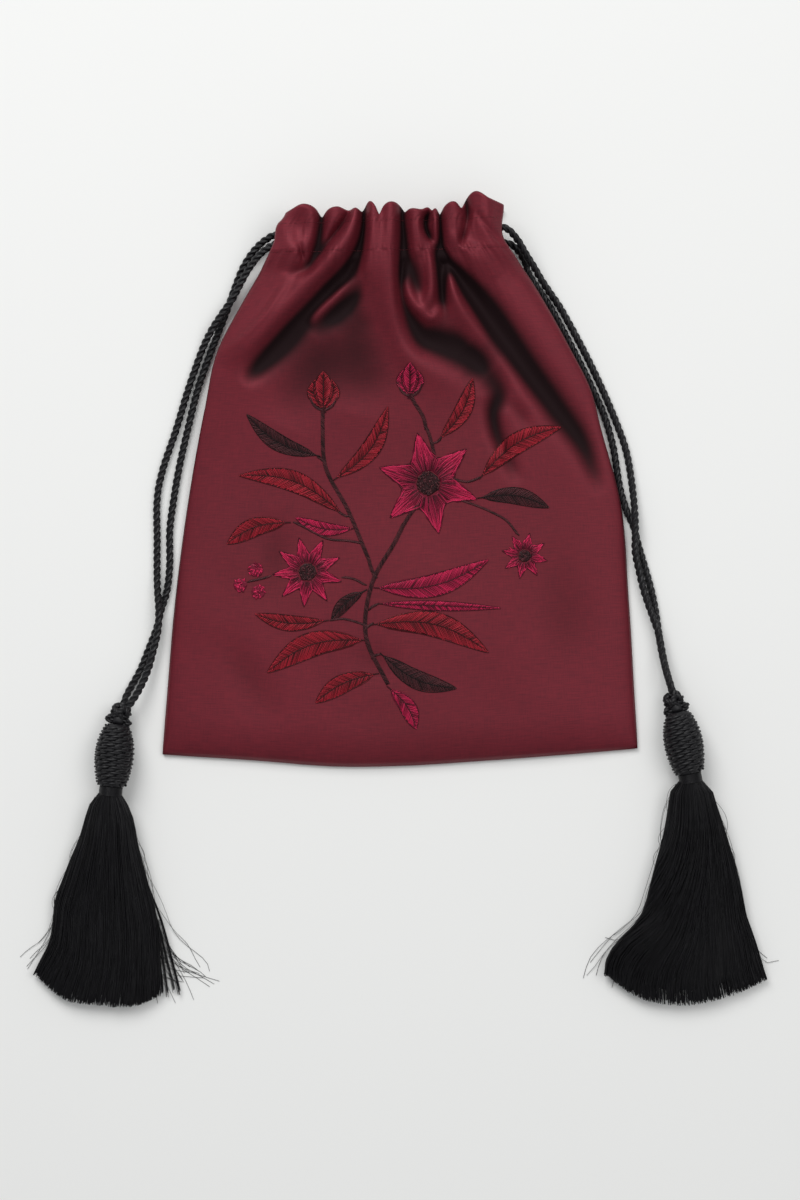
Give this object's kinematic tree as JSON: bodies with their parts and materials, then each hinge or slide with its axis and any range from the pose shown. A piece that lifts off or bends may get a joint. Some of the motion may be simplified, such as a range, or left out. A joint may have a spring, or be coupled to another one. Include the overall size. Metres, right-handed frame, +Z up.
{
  "type": "drawstring tapestry bag",
  "caption": "Flat drawstring bag in dark red shot taffeta with an embroidered floral spray, black twisted cords and long silk tassels.",
  "frame": {"origin": "on the surface that the bag lies on, below the middle of its outline without the cords", "axes": "+X to the bag's right as seen from above, +Y towards the gathered mouth, +Z up from the surface"},
  "size_m": [0.3644, 0.4007, 0.0303],
  "materials": {
    "cloth": "satin",
    "silk_black": "satin",
    "thread_crimson": "satin",
    "thread_magenta": "satin",
    "thread_plum": "satin",
    "wood": "matte"
  },
  "bodies": {
    "root": {"front_panel": "cloth", "back_panel": "cloth", "cord_left": "silk_black", "cord_right": "silk_black", "knot_left": "silk_black", "knot_right": "silk_black", "tassel_winding_left": "silk_black", "tassel_winding_right": "silk_black", "neck_binding_left": "silk_black", "neck_binding_right": "silk_black", "skirt_left": "silk_black", "skirt_right": "silk_black", "tassel_mould_left": "wood", "tassel_mould_right": "wood", "embroidered_blossom": "thread_magenta", "embroidered_daisy": "thread_magenta", "embroidered_leaf_4": "thread_magenta", "embroidered_leaf_10": "thread_magenta", "embroidered_blossom_heart": "thread_plum", "embroidered_daisy_heart": "thread_plum", "embroidered_main_stem": "thread_plum", "embroidered_bud_stem": "thread_plum", "embroidered_leaf_2": "thread_plum", "embroidered_leaf_5": "thread_plum", "embroidered_leaf_8": "thread_plum", "embroidered_bud": "thread_crimson", "embroidered_leaf_1": "thread_crimson", "embroidered_leaf_3": "thread_crimson", "embroidered_leaf_6": "thread_crimson", "embroidered_leaf_7": "thread_crimson", "embroidered_leaf_9": "thread_crimson", "embroidered_leaf_11": "thread_crimson", "embroidered_leaf_14": "thread_crimson", "embroidered_leaf_15": "thread_crimson", "embroidered_leaf_16": "thread_crimson", "embroidered_leaf_12": "thread_plum", "embroidered_small_bud_stem": "thread_plum", "embroidered_small_daisy_heart": "thread_plum", "embroidered_leaf_13": "thread_magenta", "embroidered_leaf_17": "thread_magenta", "embroidered_small_bud": "thread_magenta", "embroidered_small_daisy": "thread_magenta", "embroidered_berry_1": "thread_magenta", "embroidered_berry_2": "thread_magenta", "embroidered_berry_3": "thread_magenta"}
  },
  "joints": []
}
